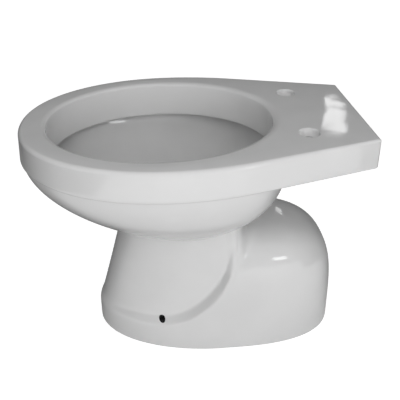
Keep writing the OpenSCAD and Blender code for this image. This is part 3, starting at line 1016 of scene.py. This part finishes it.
GLAZE_WHITE, GLAZE_SHADE, GLAZE_ROUGH = 0.76, 0.73, 0.07
GLAZE_IOR = 1.52
COAT_WEIGHT, COAT_ROUGH = 0.3, 0.03
MOTTLE_SCALE, MOTTLE_DETAIL, MOTTLE_SPREAD = 9.0, 3.0, (0.35, 0.65)
SPECK_SCALE, SPECK_SIZE, SPECK_SHARE = 34.0, (0.004, 0.012), 0.35
SPECK_COLOUR = (0.42, 0.40, 0.37, 1)
RIPPLE_SCALE, RIPPLE_DETAIL, RIPPLE_HEIGHT = 14.0, 1.0, 1.2 * MM
PEEL_SCALE, PEEL_HEIGHT = 160.0, 0.03 * MM
# Painted shade: the fixing holes' bores are near black, fading out between the two radii below
BORE_PAINTED_SHADE = 0.02
BORE_EDGE = (FIX_R + 0.1 * MM, FIX_R + 0.5 * MM)
FOOT_EDGE = (0.2 * MM, 1.2 * MM)
FOOT_CLAY, FOOT_ROUGH = (0.62, 0.59, 0.53, 1), 0.75
CLAY_DARK, CLAY_PALE = (0.60, 0.57, 0.51, 1), (0.70, 0.68, 0.63, 1)
PATCH_SCALE, PATCH_SPREAD = 18.0, (0.3, 0.7)
GRAIN_SCALE, GRAIN_DETAIL, GRAIN_ROUGHNESS, GRAIN_HEIGHT = 260.0, 4.0, 0.6, 0.2 * MM
CLAY_ROUGH, CLAY_ROUGH_MORE = 0.6, 0.15


class Finish(Tree):
    """A material's node tree."""

    def __init__(self, name):
        self.material = bpy.data.materials.new(name)
        self.material.use_nodes = True
        super().__init__(self.material.node_tree)
        self.shader = self.nodes["Principled BSDF"]

    def set(self, **sockets):
        """Sets the shader's sockets, named with _ for each space."""
        for key, value in sockets.items():
            self.put(self.shader.inputs[key.replace("_", " ")], value)

    def place(self):
        return self.add("ShaderNodeTexCoord", output="Object")

    def place_along(self, axis):
        return self.add("ShaderNodeSeparateXYZ", {}, {0: self.place()}, axis)

    def noise(self, scale, detail=2.0, roughness=0.5):
        return self.add("ShaderNodeTexNoise", {}, {
            "Vector": self.place(), "Scale": scale, "Detail": detail, "Roughness": roughness})

    def painted_bore_shade(self):
        """1 inside the two fixing holes, which run across X, where the bores are painted dark as shade."""
        away = self.vector("SUBTRACT", self.place(), (0, FIX_PLACE[1], FIX_PLACE[2]))
        across = self.vector("MULTIPLY", away, (0, 1, 1))
        radius = self.add("ShaderNodeVectorMath", {"operation": "LENGTH"}, {0: across}, "Value")
        return 1 - radius.between(*BORE_EDGE)

    def bump(self, height, distance, **normal):
        return self.add("ShaderNodeBump", {}, {"Height": height, "Distance": distance, **normal})


def glaze_finish(name):
    """Fired white glaze: glossy, faintly mottled, with a slow ripple and a few pinholes, and painted shade
    in the fixing holes' bores.
    """
    finish = Finish(name)
    mottle = finish.noise(MOTTLE_SCALE, MOTTLE_DETAIL).between(*MOTTLE_SPREAD)
    colour = finish.blend(mottle, grey(GLAZE_SHADE), grey(GLAZE_WHITE))
    specks = finish.add("ShaderNodeTexVoronoi", {}, {"Vector": finish.place(), "Scale": SPECK_SCALE})
    speck = 1 - specks.between(*SPECK_SIZE)
    body = finish.blend(speck * SPECK_SHARE, colour, SPECK_COLOUR)
    # Painted shade: the inside of each fixing hole is painted near black, as the shade deep in it
    body = finish.blend(finish.painted_bore_shade(), body, grey(BORE_PAINTED_SHADE))
    glazed = finish.place_along("Z").between(*FOOT_EDGE)
    finish.set(Base_Color=finish.blend(glazed, FOOT_CLAY, body))
    finish.set(Roughness=finish.blend(glazed, grey(FOOT_ROUGH), grey(GLAZE_ROUGH)))
    ripple = finish.bump(finish.noise(RIPPLE_SCALE, RIPPLE_DETAIL), RIPPLE_HEIGHT)
    finish.set(Normal=finish.bump(finish.noise(PEEL_SCALE), PEEL_HEIGHT, Normal=ripple))
    finish.set(IOR=GLAZE_IOR, Coat_Weight=COAT_WEIGHT, Coat_Roughness=COAT_ROUGH)
    return finish.material


def bare_finish(name):
    """Unglazed fired clay, dry and slightly warm."""
    finish = Finish(name)
    grain = finish.noise(GRAIN_SCALE, GRAIN_DETAIL, GRAIN_ROUGHNESS)
    patch = finish.noise(PATCH_SCALE).between(*PATCH_SPREAD)
    finish.set(Base_Color=finish.blend(patch, CLAY_DARK, CLAY_PALE))
    finish.set(Roughness=grain * CLAY_ROUGH_MORE + CLAY_ROUGH)
    finish.set(Normal=finish.bump(grain, GRAIN_HEIGHT))
    return finish.material


def dress(piece, material, node):
    """Gives a piece its finish, and puts it in its node's place."""
    piece.data.materials.clear()
    piece.data.materials.append(material)
    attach(piece, "root")
    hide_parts(node)


PIPE_TREE = make_pipe_tree()
glaze = glaze_finish("white_glaze")
bare_clay = bare_finish("bare_china")

dress(make_rim(), glaze, "rim")
dress(make_bowl(), glaze, "bowl")
dress(make_pedestal(), glaze, "pedestal")
dress(make_flush_inlet(), glaze, "flush_inlet")
dress(make_trapway(), bare_clay, "trapway")
dress(make_outlet(), bare_clay, "outlet_spigot")


# Camera, at the photograph's place and angle

CAMERA_AT = Vector((733.9, -42.3, 707.4)) * MM
CAMERA_YAW = math.radians(4.318)
CAMERA_PITCH = math.radians(32.64)
CAMERA_ROLL = math.radians(-0.453)
FOCAL_SHARE = 521.5 / 400
SENSOR = 36.0
CLIP_NEAR, CLIP_FAR = 0.01, 50


def make_camera():
    level, down = math.cos(CAMERA_PITCH), math.sin(CAMERA_PITCH)
    forward = Vector((-math.cos(CAMERA_YAW) * level, math.sin(CAMERA_YAW) * level, -down))
    right = forward.cross(Vector((0, 0, 1))).normalized()
    up = right.cross(forward)
    turned_right = right * math.cos(CAMERA_ROLL) + up * math.sin(CAMERA_ROLL)
    turned_up = up * math.cos(CAMERA_ROLL) - right * math.sin(CAMERA_ROLL)
    data = bpy.data.cameras.new("camera")
    data.sensor_width = SENSOR
    data.lens = FOCAL_SHARE * SENSOR
    data.clip_start, data.clip_end = CLIP_NEAR, CLIP_FAR
    camera = shown("camera", data)
    turn = Matrix((turned_right, turned_up, -forward)).transposed().to_4x4()
    camera.matrix_world = Matrix.Translation(CAMERA_AT) @ turn
    bpy.context.scene.camera = camera


# Floor and light

FLOOR_REACH = 6.0
FLOOR_TONE = 0.35
FLOOR_FADE = (-0.05, 0.2)
FLOOR_WHITE = 0.92
MATT = 0.9

# Upright cards as (one end, the other end, bottom, top), and the level one above them
CARD_TONE = 0.02
CARD_Y, CARD_BACK_X, CARD_LEFT_X, CARD_RIGHT_X, CARD_TOP = 0.8, -1.6, 1.6, 0.55, 1.0
CARD_FAR, CARD_HIGH, CARD_LOW, CARD_FLOOR = 3.6, 3.8, 0.4, 0.001
CARDS = {
    "card_left": ((CARD_BACK_X, -CARD_Y), (CARD_LEFT_X, -CARD_Y), CARD_FLOOR, CARD_TOP),
    "card_right": ((CARD_BACK_X, CARD_Y), (CARD_RIGHT_X, CARD_Y), CARD_FLOOR, CARD_TOP),
    "card_back": ((-CARD_FAR, -CARD_FAR), (-CARD_FAR, CARD_FAR), CARD_FLOOR, CARD_HIGH),
    "card_front": ((CARD_FAR, -CARD_FAR), (CARD_FAR, CARD_FAR), CARD_LOW, CARD_HIGH),
    "card_far_left": ((-CARD_FAR, -CARD_FAR), (CARD_FAR, -CARD_FAR), CARD_LOW, CARD_HIGH),
    "card_far_right": ((-CARD_FAR, CARD_FAR), (CARD_FAR, CARD_FAR), CARD_LOW, CARD_HIGH),
}

# Lamps as (degrees round from +X, degrees up, distance, width, height, watts)
LAMP_AIM = Vector((0, 0, 0.2))
LAMP_OVER_FLOOR = 0.02
LAMPS = {
    "camera_low": (0, 6, 2.6, 3.0, 1.2, 31.0),
    "camera_near": (0, 40, 1.5, 1.0, 0.8, 7.6),
    "right": (90, 15, 2.6, 2.0, 1.4, 6.0),
    "top": (0, 88, 2.6, 2.4, 2.4, 16.5),
    "back": (180, 8, 4.2, 4.2, 1.8, 62.0),
    "left_back": (215, 12, 4.2, 2.2, 2.0, 13.0),
}

# Small windows that the glaze mirrors, as (degrees round, degrees up, aim, width, height, watts)
WINDOW_AWAY = 2.2
WINDOWS = {
    "window_back": (159.8, 22.8, (0.02, 0.215, 0.39), 0.14, 0.19, 0.22),
    "window_front": (36, 16, (0.1, 0.05, 0.3), 0.45, 0.4, 3.0),
}


def sheet(name, corners, finish):
    """A four-cornered sheet for the stage."""
    mesh = bpy.data.meshes.new(name)
    mesh.from_pydata(corners, [], [(0, 1, 2, 3)])
    mesh.materials.append(finish.material)
    return finished(name, mesh)


def make_floor():
    far = FLOOR_REACH
    finish = Finish("floor_white")
    ahead = finish.place_along("X").between(*FLOOR_FADE)
    finish.set(Base_Color=grey(FLOOR_TONE), Roughness=MATT)
    finish.set(Emission_Color=finish.seen(grey(FLOOR_WHITE), ahead), Emission_Strength=1.0)
    floor = sheet("floor", [(-far, -far, 0), (far, -far, 0), (far, far, 0), (-far, far, 0)], finish)


def make_world():
    """White for rays from the camera and from mirrors and glass, and no light of its own."""
    world = bpy.data.worlds.new("studio")
    bpy.context.scene.world = world
    world.use_nodes = True
    tree = Tree(world.node_tree)
    tree.put(tree.nodes["Background"].inputs["Color"], tree.seen(grey(1)))


def make_card(name, corners):
    """A dark card that only mirrors see, so that the glaze reflects a dim room."""
    finish = Finish(name + "_black")
    finish.set(Base_Color=grey(CARD_TONE), Roughness=MATT)
    card = sheet(name, corners, finish)
    for ray in ("camera", "diffuse", "transmission", "volume_scatter", "shadow"):
        setattr(card, "visible_" + ray, False)


def make_cards():
    for name, (start, end, low, high) in CARDS.items():
        make_card(name, [(*start, low), (*end, low), (*end, high), (*start, high)])
    far, high = CARD_FAR, CARD_HIGH
    make_card("card_above", [(-far, -far, high), (-far, far, high), (far, far, high), (far, -far, high)])


def direction(turn, lift):
    """The direction that is turn degrees round from +X and lift degrees up."""
    turn, lift = math.radians(turn), math.radians(lift)
    return Vector((math.cos(lift) * math.cos(turn), math.cos(lift) * math.sin(turn), math.sin(lift)))


def make_lamp(name, at, aim, width, height, watts, mirrored):
    data = bpy.data.lights.new(name, "AREA")
    data.shape = "RECTANGLE"
    data.size, data.size_y, data.energy = width, height, watts
    lamp = shown(name, data)
    lamp.location = at
    lamp.visible_glossy = mirrored
    lamp.rotation_euler = (Vector(aim) - at).to_track_quat("-Z", "Y").to_euler()


def make_softbox(name, turn, lift, away, width, height, watts):
    """A lamp towards the pan's middle that nothing mirrors, with its lower edge over the floor."""
    at = LAMP_AIM + away * direction(turn, lift)
    at.z = max(at.z, height / 2 * math.cos(math.radians(lift)) + LAMP_OVER_FLOOR)
    make_lamp(name, at, LAMP_AIM, width, height, watts, False)


def make_window(name, turn, lift, aim, width, height, watts):
    """A small lamp towards one spot that the glaze there mirrors."""
    make_lamp(name, Vector(aim) + WINDOW_AWAY * direction(turn, lift), aim, width, height, watts, True)


make_camera()
make_floor()
make_world()
make_cards()
for name, lamp in LAMPS.items():
    make_softbox(name, *lamp)
for name, window in WINDOWS.items():
    make_window(name, *window)

bpy.context.scene.view_settings.view_transform = "Standard"
